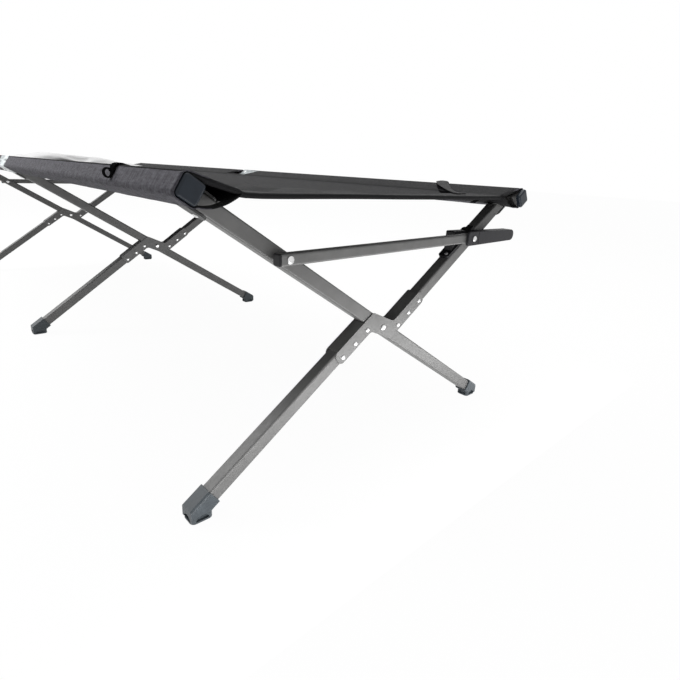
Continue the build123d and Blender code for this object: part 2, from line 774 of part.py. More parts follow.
build_frames()
build_rails()
build_spreaders()
build_bed()

shapes = {}
for name, made in nodes.items():
    pieces = made if isinstance(made, list) else [made]
    shapes[name] = Compound([solid for piece in pieces for solid in piece.solids()])
extent = Compound(list(shapes.values())).bounding_box()
centre = (extent.min.X + extent.max.X) / 2

os.makedirs("parts", exist_ok=True)
for name, shape in shapes.items():
    export_step(Pos(-centre, 0, 0) * shape, f"parts/{name}.step")
print("pivot x", round(-centre, 3), "bar pivot and lever pivot", bar_spots())
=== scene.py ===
"""Looks of the folding camp cot: coated tubes, moulded feet, cloth bed, pillow and straps."""

import math

import bpy
import numpy as np
from mathutils import Matrix, Vector, noise


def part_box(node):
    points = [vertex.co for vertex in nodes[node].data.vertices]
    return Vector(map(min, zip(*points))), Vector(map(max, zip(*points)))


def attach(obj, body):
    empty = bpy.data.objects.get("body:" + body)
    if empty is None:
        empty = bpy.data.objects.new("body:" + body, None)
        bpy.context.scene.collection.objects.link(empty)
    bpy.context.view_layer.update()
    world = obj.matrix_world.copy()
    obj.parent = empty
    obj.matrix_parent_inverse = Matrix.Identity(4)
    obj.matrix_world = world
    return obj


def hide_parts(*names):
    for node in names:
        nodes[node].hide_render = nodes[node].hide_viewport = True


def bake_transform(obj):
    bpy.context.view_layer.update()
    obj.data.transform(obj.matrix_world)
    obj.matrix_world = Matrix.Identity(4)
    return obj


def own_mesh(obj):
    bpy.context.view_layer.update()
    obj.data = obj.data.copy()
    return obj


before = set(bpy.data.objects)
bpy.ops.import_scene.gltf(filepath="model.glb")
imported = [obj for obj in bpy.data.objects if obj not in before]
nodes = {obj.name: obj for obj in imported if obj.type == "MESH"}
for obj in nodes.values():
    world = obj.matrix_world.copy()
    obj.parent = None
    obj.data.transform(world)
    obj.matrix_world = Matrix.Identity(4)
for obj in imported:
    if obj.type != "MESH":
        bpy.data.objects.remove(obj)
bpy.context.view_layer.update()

# Sizes shared with the solids, in metres
TILT = {"left": math.radians(32.1), "right": math.radians(35.0)}
BODY = {"left": "left_frame", "right": "right_frame"}
INWARD = {"left": 1.0, "right": -1.0}
RAIL_HALF = 0.0125
RAIL_CORNER = 0.004
CLOTH = 0.0012
CLOTH_PLAY = 0.00015
FRAME_SPACING = 0.9


def shader_of(material):
    """The material's Principled shader."""
    return next(n for n in material.node_tree.nodes if n.type == "BSDF_PRINCIPLED")


def start_material(name, roughness, metallic=0.0):
    """New material with fixed roughness and metallic; returns it with its node adder and linker."""
    material = bpy.data.materials.new(name)
    material.use_nodes = True
    shader = shader_of(material)
    shader.inputs["Roughness"].default_value = roughness
    shader.inputs["Metallic"].default_value = metallic
    return material, material.node_tree.nodes.new, material.node_tree.links.new


def noise_node(add, link, place, scale, detail=2.0, stretch=None):
    """Noise texture on given coordinates, stretched along some axes if asked."""
    node = add("ShaderNodeTexNoise")
    node.inputs["Scale"].default_value = scale
    node.inputs["Detail"].default_value = detail
    if stretch:
        mapping = add("ShaderNodeMapping")
        mapping.inputs["Scale"].default_value = stretch
        link(place, mapping.inputs["Vector"])
        place = mapping.outputs["Vector"]
    link(place, node.inputs["Vector"])
    return node.outputs["Fac"]


def ramp_node(add, link, value, stops):
    """Colour ramp through (position, colour) stops."""
    ramp = add("ShaderNodeValToRGB")
    elements = ramp.color_ramp.elements
    while len(elements) < len(stops):
        elements.new(0.5)
    for element, (position, colour) in zip(elements, stops):
        element.position = position
        element.color = (*colour, 1.0)
    link(value, ramp.inputs["Fac"])
    return ramp.outputs["Color"]


def range_node(add, link, value, low, high):
    """Maps a 0 to 1 value onto a range."""
    node = add("ShaderNodeMapRange")
    node.inputs["To Min"].default_value = low
    node.inputs["To Max"].default_value = high
    link(value, node.inputs["Value"])
    return node.outputs["Result"]


def bump_node(add, link, height, strength, distance):
    """Bump from a height value."""
    node = add("ShaderNodeBump")
    node.inputs["Strength"].default_value = strength
    node.inputs["Distance"].default_value = distance
    link(height, node.inputs["Height"])
    return node.outputs["Normal"]


def shade(colour, amount):
    """A colour made lighter or darker by a factor."""
    return tuple(min(1.0, c * amount) for c in colour)


def coated_metal(name, colour, roughness, metallic):
    """Powder-coated tube: faint mottling, fine grain and uneven gloss."""
    material, add, link = start_material(name, roughness, metallic)
    shader = shader_of(material)
    place = add("ShaderNodeTexCoord").outputs["Object"]
    mottle = noise_node(add, link, place, scale=45.0, detail=3.0)
    stops = [(0.25, shade(colour, 0.88)), (0.75, shade(colour, 1.1))]
    link(ramp_node(add, link, mottle, stops), shader.inputs["Base Color"])
    streaks = noise_node(add, link, place, scale=160.0)
    gloss = range_node(add, link, streaks, low=roughness - 0.06, high=roughness + 0.06)
    link(gloss, shader.inputs["Roughness"])
    grain = noise_node(add, link, place, scale=2600.0, detail=1.0)
    rough_skin = bump_node(add, link, grain, strength=0.12, distance=0.0002)
    link(rough_skin, shader.inputs["Normal"])
    return material


def steel(name, dark, light, roughness, scale):
    """Bright drawn steel with streaks at a given scale: fine scratches, and on the zinc joints dark and
    light patches painted as reflections and glints.
    """
    material, add, link = start_material(name, roughness, 1.0)
    shader = shader_of(material)
    place = add("ShaderNodeTexCoord").outputs["Object"]
    streaks_and_glints = noise_node(add, link, place, scale, stretch=(1.0, 0.2, 1.0))
    stops = [(0.35, dark), (0.65, light)]
    link(ramp_node(add, link, streaks_and_glints, stops), shader.inputs["Base Color"])
    gloss = range_node(add, link, streaks_and_glints, low=roughness - 0.07, high=roughness + 0.1)
    link(gloss, shader.inputs["Roughness"])
    return material


def moulding(name, colour, roughness, specular):
    """Moulded plastic with a fine spark-eroded skin."""
    material, add, link = start_material(name, roughness)
    shader = shader_of(material)
    shader.inputs["Specular IOR Level"].default_value = specular
    place = add("ShaderNodeTexCoord").outputs["Object"]
    cloud = noise_node(add, link, place, scale=70.0)
    stops = [(0.3, shade(colour, 0.85)), (0.7, shade(colour, 1.15))]
    link(ramp_node(add, link, cloud, stops), shader.inputs["Base Color"])
    gloss = range_node(add, link, cloud, low=roughness - 0.05, high=roughness + 0.07)
    link(gloss, shader.inputs["Roughness"])
    skin = noise_node(add, link, place, scale=1500.0)
    rough_skin = bump_node(add, link, skin, strength=0.15, distance=0.0002)
    link(rough_skin, shader.inputs["Normal"])
    return material


CLOTH_ROUGHNESS = 0.75
WAVE_PERIOD = 0.314  # of the wave texture at scale 1


def woven(name, dark, light, pitch, fleck, sheen, specular=0.1, fuzz=0.35):
    """Plain-weave cloth on the sheet's own flat coordinates, with heathered yarn."""
    material, add, link = start_material(name, CLOTH_ROUGHNESS)
    shader = shader_of(material)
    shader.inputs["Sheen Weight"].default_value = sheen
    shader.inputs["Sheen Roughness"].default_value = fuzz
    shader.inputs["Specular IOR Level"].default_value = specular
    flat = add("ShaderNodeUVMap")
    flat.uv_map = "flat"
    place = flat.outputs["UV"]
    along = noise_node(add, link, place, fleck, detail=3.0, stretch=(1.0, 0.25, 1.0))
    across = noise_node(add, link, place, fleck, detail=3.0, stretch=(0.25, 1.0, 1.0))
    yarn = add("ShaderNodeMath")
    yarn.operation = "MULTIPLY_ADD"
    yarn.inputs[1].default_value = 0.5
    link(along, yarn.inputs[0])
    half = range_node(add, link, across, low=0.0, high=0.5)
    link(half, yarn.inputs[2])
    between = tuple((a + b) / 2 for a, b in zip(dark, light))
    stops = [(0.36, dark), (0.5, between), (0.64, light)]
    link(ramp_node(add, link, yarn.outputs["Value"], stops), shader.inputs["Base Color"])
    threads = []
    for axis in ("X", "Y"):
        wave = add("ShaderNodeTexWave")
        wave.bands_direction = axis
        wave.inputs["Scale"].default_value = WAVE_PERIOD / pitch
        link(place, wave.inputs["Vector"])
        threads.append(wave.outputs["Fac"])
    weave = add("ShaderNodeMath")
    weave.operation = "MULTIPLY"
    link(threads[0], weave.inputs[0])
    link(threads[1], weave.inputs[1])
    relief = bump_node(add, link, weave.outputs["Value"], strength=0.35, distance=pitch / 3)
    link(relief, shader.inputs["Normal"])
    return material


TUBE = coated_metal("coated_tube", (0.19, 0.189, 0.187), roughness=0.45, metallic=0.15)
PRESSED = coated_metal("coated_bracket", (0.215, 0.214, 0.212), roughness=0.45, metallic=0.15)
BAR = coated_metal("satin_bar", (0.205, 0.205, 0.202), roughness=0.4, metallic=0.15)
# Near-black rail brackets: their own dark coating, partly painted shade
SHADED = coated_metal("shaded_bracket", (0.05, 0.05, 0.05), roughness=0.5, metallic=0.15)
STEEL = steel("bright_steel", (0.61, 0.61, 0.61), (0.78, 0.78, 0.78), roughness=0.28, scale=700.0)
# Zinc joints: dark and light patches painted as reflections and glints
GLINT_ZINC = steel("zinc_steel_painted_glints", (0.07, 0.085, 0.09), (0.62, 0.67, 0.68), roughness=0.3, scale=130.0)
BLUE_GREY = moulding("blue_grey_moulding", (0.085, 0.1, 0.112), roughness=0.42, specular=0.4)
CAP = moulding("cap_moulding", (0.026, 0.034, 0.046), roughness=0.34, specular=0.25)
BLACK = moulding("black_moulding", (0.018, 0.018, 0.02), roughness=0.45, specular=0.25)
LEVER = moulding("lever_moulding", (0.03, 0.03, 0.034), roughness=0.5, specular=0.25)

# Threads of the cloths: pitch in metres, and size of the flecks of colour
FINE_WEAVE = {"pitch": 0.0008, "fleck": 1100.0}
COARSE_WEAVE = {"pitch": 0.0014, "fleck": 700.0}
HEATHER_WEAVE = {"pitch": 0.0009, "fleck": 300.0}
DULL = {"sheen": 0.1, "specular": 0.05, "fuzz": 0.15}
HEATHER = woven("heather_cloth", (0.044, 0.043, 0.053), (0.16, 0.155, 0.18), **HEATHER_WEAVE, sheen=0.2)
CHARCOAL = woven("charcoal_cloth", (0.024, 0.024, 0.025), (0.05, 0.05, 0.051), **FINE_WEAVE, **DULL)
# Lighter strap cloth for the right strap: painted light on its lit face
LIT_STRAP_CLOTH = woven("lit_strap_cloth", (0.06, 0.06, 0.061), (0.115, 0.115, 0.116), **COARSE_WEAVE, **DULL)
# Lighter copy of the sheet's cloth for its ends: painted sheen
SHEEN_CLOTH = woven("painted_sheen_cloth", (0.045, 0.045, 0.046), (0.085, 0.085, 0.086), **FINE_WEAVE, **DULL)
# Dark hem cloth: partly a darker binding, partly painted shade of the hem's fold and of the sleeves'
# flaps
HEM_AND_SHADE = woven("hem_cloth_and_shade", (0.014, 0.014, 0.015), (0.026, 0.026, 0.027), **FINE_WEAVE, sheen=0.02)
# Black webbing cloth, also painted shade on the left strap and painted shadow beside the right strap
WEBBING_AND_SHADE = woven(
    "webbing", (0.006, 0.006, 0.0065), (0.014, 0.014, 0.015), **COARSE_WEAVE, sheen=0.0, specular=0.0
)
PALE = woven("pale_cloth", (0.76, 0.76, 0.76), (0.9, 0.9, 0.9), **FINE_WEAVE, sheen=0.1)

FINISH = [
    ("leg_", TUBE),
    ("left_rail_near", TUBE),
    ("left_rail_far", TUBE),
    ("right_rail_near", TUBE),
    ("right_rail_far", TUBE),
    ("hub_bracket", PRESSED),
    ("rail_bracket", SHADED),
    ("spreader_spacers", PRESSED),
    ("spreader_bar", BAR),
    ("spreader_plug", BLACK),
    ("spreader_rivets", STEEL),
    ("hub_rivets", STEEL),
    ("hub_pins", STEEL),
    ("lever_rivet", STEEL),
    ("catch_rivets", STEEL),
    ("left_rail_rivets", STEEL),
    ("right_rail_rivets", STEEL),
    ("left_rail_joint", GLINT_ZINC),
    ("right_rail_joint", GLINT_ZINC),
    ("foot_", BLUE_GREY),
    ("left_cap", CAP),
    ("right_cap", CAP),
    ("latch_catch", BLACK),
    ("latch_lever", LEVER),
]


def paint_nodes():
    """Gives each rigid node of the frame its material."""
    for name, item in nodes.items():
        for start, material in FINISH:
            if name.startswith(start):
                item.data.materials.clear()
                item.data.materials.append(material)


def grid_object(name, points, flat, closed, materials, face_slot=None):
    """Quad mesh from a rows by columns grid of points, with flat places in metres as its UV map."""
    rows, columns = points.shape[:2]
    faces = []
    uses = []
    slots = []
    last = columns if closed else columns - 1
    for r in range(rows - 1):
        for c in range(last):
            d = (c + 1) % columns
            if face_slot is not None:
                kind = face_slot(r, c)
                if kind is None:
                    continue
                slots.append(kind)
            here, above = r * columns, (r + 1) * columns
            faces.append((here + c, here + d, above + d, above + c))
            uses.append(((r, c), (r, c + 1), (r + 1, c + 1), (r + 1, c)))
    mesh = bpy.data.meshes.new(name)
    mesh.from_pydata(points.reshape(-1, 3).tolist(), [], faces)
    layer = mesh.uv_layers.new(name="flat")
    corner = 0
    for face in uses:
        for r, c in face:
            layer.data[corner].uv = flat[r][c]
            corner += 1
    for material in materials:
        mesh.materials.append(material)
    for face, kind in zip(mesh.polygons, slots):
        face.material_index = kind
    for face in mesh.polygons:
        face.use_smooth = True
    item = bpy.data.objects.new(name, mesh)
    bpy.context.scene.collection.objects.link(item)
    return item


def modify(item, kind, **settings):
    """Adds a modifier with settings."""
    modifier = item.modifiers.new(kind.lower(), kind)
    for key, value in settings.items():
        setattr(modifier, key, value)


def middle(node):
    """Centre of a node's box."""
    low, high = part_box(node)
    return (np.array(low) + np.array(high)) / 2


SEAM_TIP = 0.0022  # from the seam to the tip of the sleeve's solid


def find_seam(side):
    """x and z of the seam where a sleeve meets the bed, from the sleeve's solid."""
    low, high = (np.array(v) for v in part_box(f"{side}_sleeve_near"))
    x = high[0] - SEAM_TIP if side == "left" else low[0] + SEAM_TIP
    mesh = nodes[f"{side}_sleeve_near"].data
    spots = np.array([v.co for v in mesh.vertices])
    near = np.abs(spots[:, 0] - x) < SEAM_TIP
    return x, float((spots[near, 2].min() + spots[near, 2].max()) / 2)


SEAM = {side: find_seam(side) for side in ("left", "right")}

# Sleeves, in metres
SEAM_RADIUS = 0.0016
SEAM_STEPS = 12
CORNER_STEPS = 6
SLEEVE_COLUMNS = 72
SLEEVE_ROWS = 110
LEG_ROWS = 13
LEG_CLEAR = 0.018  # even rows stay this far from the leg's middle
LEG_HOLE = 0.0145  # half the cut-out along the rail
LEG_HOLE_DOWN = (-0.046, -0.0095)  # along the leg, from the rail's middle
LEG_HOLE_SIDE = 0.0165  # half the cut-out across the leg
LEFT_MOUTH = 0.0065  # how far a left sleeve passes its solid's mouth
SLACK_START = 0.02  # from the rail's middle
SLACK_LENGTH = 0.012
FLAP_SLACK = 0.3  # cloth slacker than this is the flap, in dark cloth that is partly painted shade
HANG_START = 0.006
MOUTH_FLARE = 0.0012
FLARE_LENGTH = 0.012
FLAP_DROOP = 0.002
MOUTH_DROOP = 0.0045
DROOP_LENGTH = 0.09
BROAD_SWELL = 0.0012
BROAD_SCALE = (25, 9)  # across and along the rail
FINE_SWELL = 0.0003
FINE_SCALE = (60, 34)
FINE_SHIFT = 3.0


def hull(points):
    """Convex hull of 2-D points, anticlockwise."""
    ordered = sorted(map(tuple, points))
    chains = []
    for run in (ordered, ordered[::-1]):
        chain = []
        for p in run:
            while len(chain) > 1:
                (ax, az), (bx, bz) = chain[-2], chain[-1]
                if (bx - ax) * (p[1] - az) - (bz - az) * (p[0] - ax) > 1e-12:
                    break
                chain.pop()
            chain.append(p)
        chains += chain[:-1]
    return np.array(chains)


def even_loop(points, count):
    """Closed loop resampled at even steps, with each point's distance along it."""
    closed = np.vstack([points, points[:1]])
    steps = np.linalg.norm(np.diff(closed, axis=0), axis=1)
    at = np.concatenate([[0], np.cumsum(steps)])
    want = np.arange(count) * at[-1] / count
    loop = np.stack([np.interp(want, at, closed[:, k]) for k in (0, 1)], axis=1)
    return loop, want, at[-1]


def sleeve_loop(side, count):
    """Teardrop path of the sleeve's cloth, starting at the seam and going over the rail's top."""
    x, _, z = middle(f"{side}_rail_near")
    seam_x, seam_z = SEAM[side]
    lift = CLOTH / 2 + CLOTH_PLAY
    radius = RAIL_CORNER + lift
    reach = RAIL_HALF - RAIL_CORNER
    turn = -TILT[side] if side == "left" else TILT[side]
    spots = []
    for quarter in range(4):
        sign_x = 1 if quarter in (0, 3) else -1
        sign_z = 1 if quarter in (0, 1) else -1
        for step in range(CORNER_STEPS + 1):
            angle = math.pi / 2 * (quarter + step / CORNER_STEPS)
            px = sign_x * reach + radius * math.cos(angle)
            pz = sign_z * reach + radius * math.sin(angle)
            spot_x = x + px * math.cos(turn) - pz * math.sin(turn)
            spot_z = z + px * math.sin(turn) + pz * math.cos(turn)
            spots.append((spot_x, spot_z))
    for step in range(SEAM_STEPS):
        angle = math.tau * step / SEAM_STEPS
        spot_x = seam_x + SEAM_RADIUS * math.cos(angle)
        spot_z = seam_z + SEAM_RADIUS * math.sin(angle)
        spots.append((spot_x, spot_z))
    path = hull(spots)
    if side == "right":
        path = path[::-1]
    first = int(np.argmax(path[:, 0] * INWARD[side]))
    path = np.roll(path, -first, axis=0)
    return even_loop(path, count)


def smooth_step(value):
    """0 below 0, 1 above 1, and an even curve between."""
    t = min(max(value, 0.0), 1.0)
    return t * t * (3 - 2 * t)


def sleeve_stations(low, high, leg_y):
    """Rows along a sleeve, closer together where the leg passes through."""
    even = np.linspace(low, high, SLEEVE_ROWS)
    close = leg_y + np.linspace(-1, 1, LEG_ROWS) * LEG_HOLE
    apart = even[np.abs(even - leg_y) > LEG_CLEAR]
    return np.unique(np.concatenate([apart, close]))


def cloth_noise(x, y, z, scale, shift=0.0):
    """Noise on a sleeve at a scale across and along the rail."""
    across, along = scale
    return noise.noise(Vector((x * across, y * along + shift, z * across)))


def build_sleeve(side, end):
    """Heathered cloth sleeve on half a rail, open at its ends, with a cut-out for the leg."""
    name = f"{side}_sleeve_{end}"
    low, high = (np.array(v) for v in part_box(name))
    out = -1 if end == "near" else 1
    mouth = low[1] if out < 0 else high[1]
    if side == "left":
        mouth += out * LEFT_MOUTH
    loop, along, length = sleeve_loop(side, SLEEVE_COLUMNS)
    rail = middle(f"{side}_rail_near")
    tangent = np.roll(loop, -1, axis=0) - np.roll(loop, 1, axis=0)
    outward = np.stack([tangent[:, 1], -tangent[:, 0]], axis=1)
    outward /= np.linalg.norm(outward, axis=1)[:, None]
    if np.dot(outward[0], loop[0] - loop.mean(axis=0)) < 0:
        outward = -outward
    far = np.linalg.norm(loop - rail[[0, 2]], axis=1)
    slack = np.clip((far - SLACK_START) / SLACK_LENGTH, 0, 1)
    inward = (loop - rail[[0, 2]])[:, 0] * INWARD[side]
    under = (along > length / 2) & (inward > HANG_START)
    share = np.clip((inward - HANG_START) / (inward.max() - HANG_START), 0, 1)
    hang = np.where(under, np.sin(np.pi * share), 0.0)
    leg_y = FRAME_SPACING * out
    inner = high[1] if out < 0 else low[1]
    stations = sleeve_stations(min(mouth, inner), max(mouth, inner), leg_y)
    if side == "left":
        stations = stations[::-1]
    tilt = TILT[side]
    up = np.array([-INWARD[side] * math.cos(tilt), math.sin(tilt)])
    across = np.array([INWARD[side] * math.sin(tilt), math.cos(tilt)])
    points = np.zeros((len(stations), SLEEVE_COLUMNS, 3))
    flat = []
    for r, y in enumerate(stations):
        row = []
        flare = MOUTH_FLARE * smooth_step(1 - abs(mouth - y) / FLARE_LENGTH)
        droop = FLAP_DROOP + MOUTH_DROOP * smooth_step(1 - abs(mouth - y) / DROOP_LENGTH)
        for c in range(SLEEVE_COLUMNS):
            broad = cloth_noise(loop[c, 0], y, loop[c, 1], BROAD_SCALE)
            fine = cloth_noise(loop[c, 0], y, loop[c, 1], FINE_SCALE, FINE_SHIFT)
            swell = BROAD_SWELL * slack[c] * broad + FINE_SWELL * (1 + fine)
            x, z = loop[c] + outward[c] * (swell + flare * (1 - slack[c]))
            points[r, c] = (x, y, z - droop * hang[c])
            row.append((along[c], y))
        row.append((length, y))
        flat.append(row)

    def kind(r, c):
        y = (stations[r] + stations[r + 1]) / 2
        here = (loop[c] + loop[(c + 1) % SLEEVE_COLUMNS]) / 2 - rail[[0, 2]]
        u, v = here @ up, here @ across
        low_end, high_end = LEG_HOLE_DOWN
        if abs(y - leg_y) < LEG_HOLE and low_end < u < high_end and abs(v) < LEG_HOLE_SIDE:
            return None
        # The flap's dark cloth is partly its own colour, partly painted shade
        return 1 if slack[c] > FLAP_SLACK else 0

    skins = [HEATHER, HEM_AND_SHADE, CHARCOAL, CHARCOAL]  # outside, and the flap in dark cloth partly painted shade, then their insides
    item = grid_object(f"{name}_cloth", points, flat, True, skins, kind)
    modify(item, "SOLIDIFY", thickness=CLOTH, offset=0.0, material_offset=2)
    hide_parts(name)
    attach(item, BODY[side])


# Bed sheet: taut at its ends, slightly slack between
BED_END = 0.931
END_SAG = 0.0006
FULL_SAG = 0.008
SAG_LENGTH = 0.15
HEM_DROP = 0.0052
SHEEN_BAND = 0.085  # width of the lighter cloth of painted sheen at the sheet's ends
OVER_FLAP = 0.00145  # sheet's middle above the sleeve's
JOINT_GAP = 0.055  # half the opening in the sheet's edge at a rail joint
FLAP_POINTS = 360
PAST_TOP = 6  # points of the flap's path beyond the rail's top
BED_COLUMNS = 150
PANEL_POINTS = 160
SEAM_EASE = 0.012  # width of the sheet's rise onto a flap
FREE_EDGE = 0.03  # width beside a seam where folds fade
# Rolled hem at an end: inset from the end and height below the sheet's top
HEM_ROLL = [
    (0.012, -HEM_DROP),
    (0.006, -HEM_DROP),
    (0.0022, -HEM_DROP),
    (0.0005, -HEM_DROP + 0.0012),
    (0.0, -HEM_DROP / 2),
    (0.0004, -0.0009),
]
HEM_INSET = 0.002  # first row of the sheet's top
NEAR_ROWS = (130, -0.4)  # count, and the station they end at
FAR_ROWS = (150, -0.394)  # count, and the station they start at
# Slack folds beside a ridge that drifts across the sheet: height, offset and width of each
FOLDS = [
    (0.0052, 0.0, 0.020),
    (-0.0036, -0.045, 0.016),
    (0.0032, 0.07, 0.022),
    (-0.0022, 0.115, 0.018),
]
RIDGE_X = -0.150
RIDGE_DRIFT = 0.085
DRIFT_START = -0.80
DRIFT_LENGTH = 0.22
FOLD_START = -0.93
FOLD_RISE = 0.05
FOLD_END = -0.5
FOLD_FADE = 0.2
RIPPLE = 0.0011
RIPPLE_SCALE = (6, 3)


def sag_at(y):
    """Sag of the sheet at a station along the cot."""
    return END_SAG + (FULL_SAG - END_SAG) * smooth_step((BED_END - abs(y)) / SAG_LENGTH)


def panel_height(x, y):
    """Height of the sheet between the seams, before its folds."""
    left_x, left_z = SEAM["left"]
    right_x, right_z = SEAM["right"]
    share = (x - left_x) / (right_x - left_x)
    return left_z + share * (right_z - left_z) - 4 * sag_at(y) * share * (1 - share)


def bell(value, width):
    """Smooth bump of height 1."""
    return math.exp(-((value / width) ** 2))


def folds_at(x, y):
    """Slack folds of the sheet, strongest at the near left corner."""
    across, along = RIPPLE_SCALE
    ripple = RIPPLE * noise.noise(Vector((x * across, y * along, 0.0)))
    ridge = RIDGE_X + RIDGE_DRIFT * smooth_step((y - DRIFT_START) / DRIFT_LENGTH)
    strength = smooth_step((y - FOLD_START) / FOLD_RISE) * smooth_step((FOLD_END - y) / FOLD_FADE)
    fold = sum(height * bell(x - ridge - offset, width) for height, offset, width in FOLDS)
    return ripple + strength * fold


def flap_path(side):
    """Points on top of a sleeve's flap, from the rail's top to the seam, just above its cloth."""
    loop, along, length = sleeve_loop(side, FLAP_POINTS)
    half = along < length / 2
    top = int(np.argmax(np.where(half, loop[:, 1], -1.0)))
    path = loop[: top + PAST_TOP]
    ahead = np.gradient(path, axis=0)
    normal = np.stack([-ahead[:, 1], ahead[:, 0]], axis=1) * -INWARD[side]
    normal /= np.linalg.norm(normal, axis=1)[:, None]
    if normal[len(normal) // 2, 1] < 0:
        normal = -normal
    return (path + normal * OVER_FLAP)[::-1]


def bed_profile(y, count, paths):
    """One cross line of the sheet from the left rail's top to the right one's."""
    left, right = paths["left"], paths["right"][::-1]
    left_x, right_x = left[-1, 0], right[0, 0]
    inner = np.linspace(left_x, right_x, PANEL_POINTS)[1:-1]
    lift_left = left[-1, 1] - panel_height(left_x, y)
    lift_right = right[0, 1] - panel_height(right_x, y)
    line = []
    for x in inner:
        z = panel_height(x, y)
        z += lift_left * bell(x - left_x, SEAM_EASE) + lift_right * bell(x - right_x, SEAM_EASE)
        free = smooth_step((x - left_x) / FREE_EDGE) * smooth_step((right_x - x) / FREE_EDGE)
        line.append((x, z + free * folds_at(x, y)))
    path = np.vstack([left, line, right])
    steps = np.linalg.norm(np.diff(path, axis=0), axis=1)
    at = np.concatenate([[0], np.cumsum(steps)])
    want = np.linspace(0, at[-1], count)
    return np.stack([np.interp(want, at, path[:, k]) for k in (0, 1)], axis=1), want


def hem_rows():
    """Stations along the sheet with the height below its top: hems rolled under at both ends."""
    start = [(-BED_END + inset, drop) for inset, drop in HEM_ROLL]
    near_count, near_end = NEAR_ROWS
    far_count, far_start = FAR_ROWS
    near = np.linspace(-BED_END + HEM_INSET, near_end, near_count)
    far = np.linspace(far_start, BED_END - HEM_INSET, far_count)
    body = np.concatenate([near, far])
    end = [(-y, drop) for y, drop in reversed(start)]
    return start + [(y, 0.0) for y in body] + end


def blend_bed(item):
    """Bakes a piece's placement into its mesh."""
    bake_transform(item)


def build_bed():
    """Bed sheet over both flaps and between the seams, with a rolled hem at each end."""
    paths = {side: flap_path(side) for side in ("left", "right")}
    rows = hem_rows()
    points = np.zeros((len(rows), BED_COLUMNS, 3))
    flat = []
    run = 0.0
    for r, (y, drop) in enumerate(rows):
        line, want = bed_profile(max(-BED_END, min(BED_END, y)), BED_COLUMNS, paths)
        if r:
            before = rows[r - 1]
            run += math.hypot(y - before[0], drop - before[1])
        for c in range(BED_COLUMNS):
            points[r, c] = (line[c, 0], y, line[c, 1] + drop)
        flat.append([(w, run) for w in want])
    hem = len(HEM_ROLL)

    def kind(r, c):
        x = points[r, c : c + 2, 0].mean()
        beyond = x < SEAM["left"][0] or x > SEAM["right"][0]
        if beyond and abs(rows[r][0]) < JOINT_GAP:
            return None
        # The rolled hem rows take the dark cloth, partly painted shade of the fold
        if r < hem or r >= len(rows) - 1 - hem:
            return 1
        # Between the seams near the ends the sheet takes the lighter cloth of painted sheen
        return 2 if beyond or abs(rows[r][0]) < BED_END - SHEEN_BAND else 0

    item = grid_object("bed_cloth", points, flat, False, [SHEEN_CLOTH, HEM_AND_SHADE, CHARCOAL], kind)
    modify(item, "SOLIDIFY", thickness=CLOTH, offset=0.0)
    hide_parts("bed_panel")
    blend_bed(item)


# Head pillow
COVER_EASE = (1.04, 1.06)  # cover's size over the solid's, across and along
COVER_GRID = (64, 46)
COVER_SWELL = 0.012  # height of each cloth before it is blown up
PILLOW_HEIGHT = 0.040
PILLOW_EDGE = 0.3  # height of the seam, as a share
PILLOW_LIFT = 0.0012
PILLOW_FILL = 1.14
# Falls of the fill: amount, start and length of each across the pillow, then along it
FILL_FALLS = [(0.24, -0.11, 0.12), (0.36, 0.07, 0.1), (0.25, -0.11, -0.08)]
FAR_FALL = (0.45, 0.01, 0.11)


def pillow_cover(width, length, columns, rows):
    """Two cloths joined along their edge: points and faces."""
    across = np.linspace(-1, 1, columns)
    down = np.linspace(-1, 1, rows)
    points = []
    faces = []
    index = {}
    for layer in (1, -1):
        for r, v in enumerate(down):
            for c, u in enumerate(across):
                rim = r in (0, rows - 1) or c in (0, columns - 1)
                if rim and layer < 0:
                    index[layer, r, c] = index[1, r, c]
                    continue
                swell = (1 - u**4) * (1 - v**4)
                index[layer, r, c] = len(points)
                points.append((u * width / 2, v * length / 2, layer * COVER_SWELL * swell))
    for layer in (1, -1):
        for r in range(rows - 1):
            for c in range(columns - 1):
                corners = ((r, c), (r, c + 1), (r + 1, c + 1), (r + 1, c))
                quad = [index[layer, row, column] for row, column in corners]
                faces.append(quad if layer > 0 else quad[::-1])
    return points, faces


def inflate(item, pressure, frames):
    """Blows a closed cover up with a cloth simulation and returns the settled points."""
    cloth = item.modifiers.new("cloth", "CLOTH").settings
    cloth.quality = 6
    cloth.mass = 0.3
    cloth.tension_stiffness = 25.0
    cloth.compression_stiffness = 25.0
    cloth.shear_stiffness = 8.0
    cloth.bending_stiffness = 0.6
    cloth.air_damping = 3.0
    cloth.use_pressure = True
    cloth.uniform_pressure_force = pressure
    cloth.effector_weights.gravity = 0.0
    scene = bpy.context.scene
    for step in range(1, frames + 1):
        scene.frame_set(step)
    shown = item.evaluated_get(bpy.context.evaluated_depsgraph_get())
    spots = np.array([v.co for v in shown.data.vertices])
    item.modifiers.clear()
    scene.frame_set(1)
    return spots


def pillow_fill(x, y):
    """How full the pillow is at a place from its middle."""
    fill = PILLOW_FILL
    for amount, start, length in FILL_FALLS:
        fill -= amount * smooth_step((x - start) / length)
    amount, start, length = FAR_FALL
    return fill * (1 - amount * smooth_step((y - start) / length))


